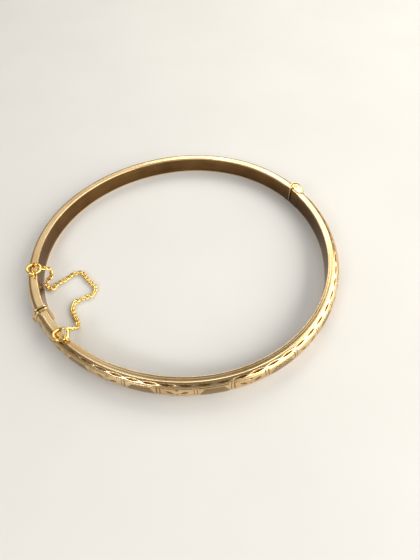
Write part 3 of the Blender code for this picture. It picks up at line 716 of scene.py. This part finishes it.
for half, side in (("back", -1), ("front", 1)):
    angle = CLASP_ANGLE + side * EYE_FROM_CLASP
    foot = band_points(angle, EYE_DEPTH, BAND_WIDTH)
    outward = band_points(angle, EYE_DEPTH + MM, BAND_WIDTH) - foot
    outward /= np.linalg.norm(outward)
    along = np.cross(outward, UP)
    turn = np.linspace(0, math.pi, ARCH_POINTS)[:, None]
    base = foot + SOLDER_GAP * UP
    arch = base + EYE_LEG * UP + EYE_RADIUS * (np.sin(turn) * UP - np.cos(turn) * along)
    staple = np.concatenate(([base - EYE_RADIUS * along], arch, [base + EYE_RADIUS * along]))
    eye = loft(f"{half}_eye_wire", wire(staple, EYE_WIRE / 2, WIRE_SIDES), [chain_gold])
    bead = bpy.data.meshes.new("bead")
    work = bmesh.new()
    place = band_points(angle, BEAD_DEPTHS[half], BAND_WIDTH + BEAD_RISE * BEAD_RADIUS)
    squashed = Matrix.Translation(Vector(place)) @ Matrix.Diagonal((1, 1, BEAD_SQUASH, 1))
    bmesh.ops.create_uvsphere(work, u_segments=24, v_segments=14, radius=BEAD_RADIUS, matrix=squashed)
    work.to_mesh(bead)
    work.free()
    bead.shade_smooth()
    bead.materials.append(chain_gold)
    bead_piece = bpy.data.objects.new(f"{half}_solder_bead", bead)
    bpy.context.scene.collection.objects.link(bead_piece)
    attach(eye, f"{half}_half")
    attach(bead_piece, f"{half}_half")
    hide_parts(f"{half}_chain_eye")

    inward = -outward * math.cos(RING_TILT) - UP * math.sin(RING_TILT)
    centre = foot + RING_HEIGHT * UP + RING_RADIUS * along
    turn = np.linspace(0, 2 * math.pi, RING_POINTS, endpoint=False)[:, None]
    ring_line = centre + RING_RADIUS * (np.cos(turn) * along + np.sin(turn) * inward)
    ring_wire = wire(ring_line, RING_WIRE / 2, WIRE_SIDES, closed=True)
    ring = loft(f"{half}_ring", ring_wire, [chain_gold], closed_path=True)
    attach(ring, f"{half}_ring")
    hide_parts(f"{half}_jump_ring")

# ---------------------------------------------------------------------------------------------------
# The safety chain: forty flat-twisted curb links of fine yellow gold wire. Each is bent from round
# wire, threaded through the last, soldered shut and twisted nearly a quarter turn, so that it lies flat.
# ---------------------------------------------------------------------------------------------------
CHAIN_RUNS = 20
LINK_WIRE, LINK_HALF_WIDTH, LINK_TWIST = 0.34 * MM, 0.31 * MM, math.radians(40)
LINK_FULLNESS, END_LINK_REACH = 0.85, 0.36 * MM
LINK_LEAN, LEAN_CHANGE = math.radians(9), 2.1
LINK_POINTS, LINK_SIDES = 40, 12
LINE_STEPS = 24
LIES_BELOW, LAID_DROP = 0.8 * MM, 0.06 * MM
# A link hangs where the level part of its direction is below STEEP. STEEP_ASIDE then sets which way it
# is turned, because the vertical can't.
STEEP, STEEP_ASIDE = 0.35, (0.3, 0.95, 0.0)

# A run turns at its end nearer a ring, so the joints give every pivot but the middle one. The run before
# that one is straight, and its box's middle is halfway to it.
pivots = {}
for joint in frame["joints"]:
    if joint["name"].startswith("chain_pivot"):
        number = int(joint["name"][-2:])
        pivots[number - 1 if number <= CHAIN_RUNS // 2 else number] = np.array(joint["pos_m"])
middle = CHAIN_RUNS // 2
low, high = (np.array(corner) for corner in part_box(f"chain_run_{middle:02d}"))
pivots[middle] = low + high - pivots[middle - 1]
chain_points = np.array([pivots[k] for k in range(CHAIN_RUNS + 1)])


def smooth_line(points, steps):
    """A smooth line through points, with steps to each stretch, and how far along it its points are."""
    ends = np.concatenate(([2 * points[0] - points[1]], points, [2 * points[-1] - points[-2]]))
    fine = []
    for a, b, c, d in zip(ends, ends[1:], ends[2:], ends[3:]):
        for t in np.arange(steps) / steps:
            fine.append((2 * b + (c - a) * t + (2 * a - 5 * b + 4 * c - d) * t**2
                         + (3 * b - a - 3 * c + d) * t**3) / 2)
    fine = np.array(fine + [points[-1]])
    return fine, np.concatenate(([0], np.cumsum(np.linalg.norm(np.diff(fine, axis=0), axis=1))))


def curb_link(half_length):
    """The middle line of one twisted link, about its own centre: X along, Y across, Z up."""
    turn = np.linspace(0, 2 * math.pi, LINK_POINTS, endpoint=False)
    x = half_length * np.sign(np.cos(turn)) * np.abs(np.cos(turn)) ** LINK_FULLNESS
    w = LINK_HALF_WIDTH * np.sin(turn)
    twist = LINK_TWIST * x / half_length
    return np.stack((x, w * np.cos(twist), w * np.sin(twist)), -1)


chain_fine, chain_walk = smooth_line(chain_points, LINE_STEPS)


def chain_point(distance):
    """The chain's point at a distance along it."""
    return np.array([np.interp(distance, chain_walk, values) for values in chain_fine.T])


link_count = 2 * CHAIN_RUNS
pitch = chain_walk[-1] / link_count
for number in range(link_count):
    reach = [number * pitch - LINK_WIRE / 2, (number + 1) * pitch + LINK_WIRE / 2]
    if number == 0:
        reach[0] = -END_LINK_REACH
    if number == link_count - 1:
        reach[1] = chain_walk[-1] + END_LINK_REACH
    centre_at = (reach[0] + reach[1]) / 2
    ahead = chain_point(centre_at + pitch / 2) - chain_point(centre_at - pitch / 2)
    ahead /= np.linalg.norm(ahead)
    up = UP - ahead * ahead[2]
    if np.linalg.norm(up) < STEEP:
        up = np.cross(ahead, STEEP_ASIDE)
    up /= np.linalg.norm(up)
    lean = LINK_LEAN * math.sin(LEAN_CHANGE * number)
    across = np.cross(up, ahead)
    up, across = up * math.cos(lean) + across * math.sin(lean), across * math.cos(lean) - up * math.sin(lean)
    place = chain_point(centre_at)
    if place[2] < LIES_BELOW:
        place[2] -= LAID_DROP
    shape = curb_link((reach[1] - reach[0]) / 2)
    middle_line = place + shape[:, :1] * ahead + shape[:, 1:2] * across + shape[:, 2:] * up
    link_wire = wire(middle_line, LINK_WIRE / 2, LINK_SIDES, closed=True)
    link = loft(f"curb_link_{number + 1:02d}", link_wire, [chain_gold], closed_path=True)
    run = number // 2 + 1
    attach(link, f"chain_run_{run:02d}")
    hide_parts(f"chain_run_{run:02d}")
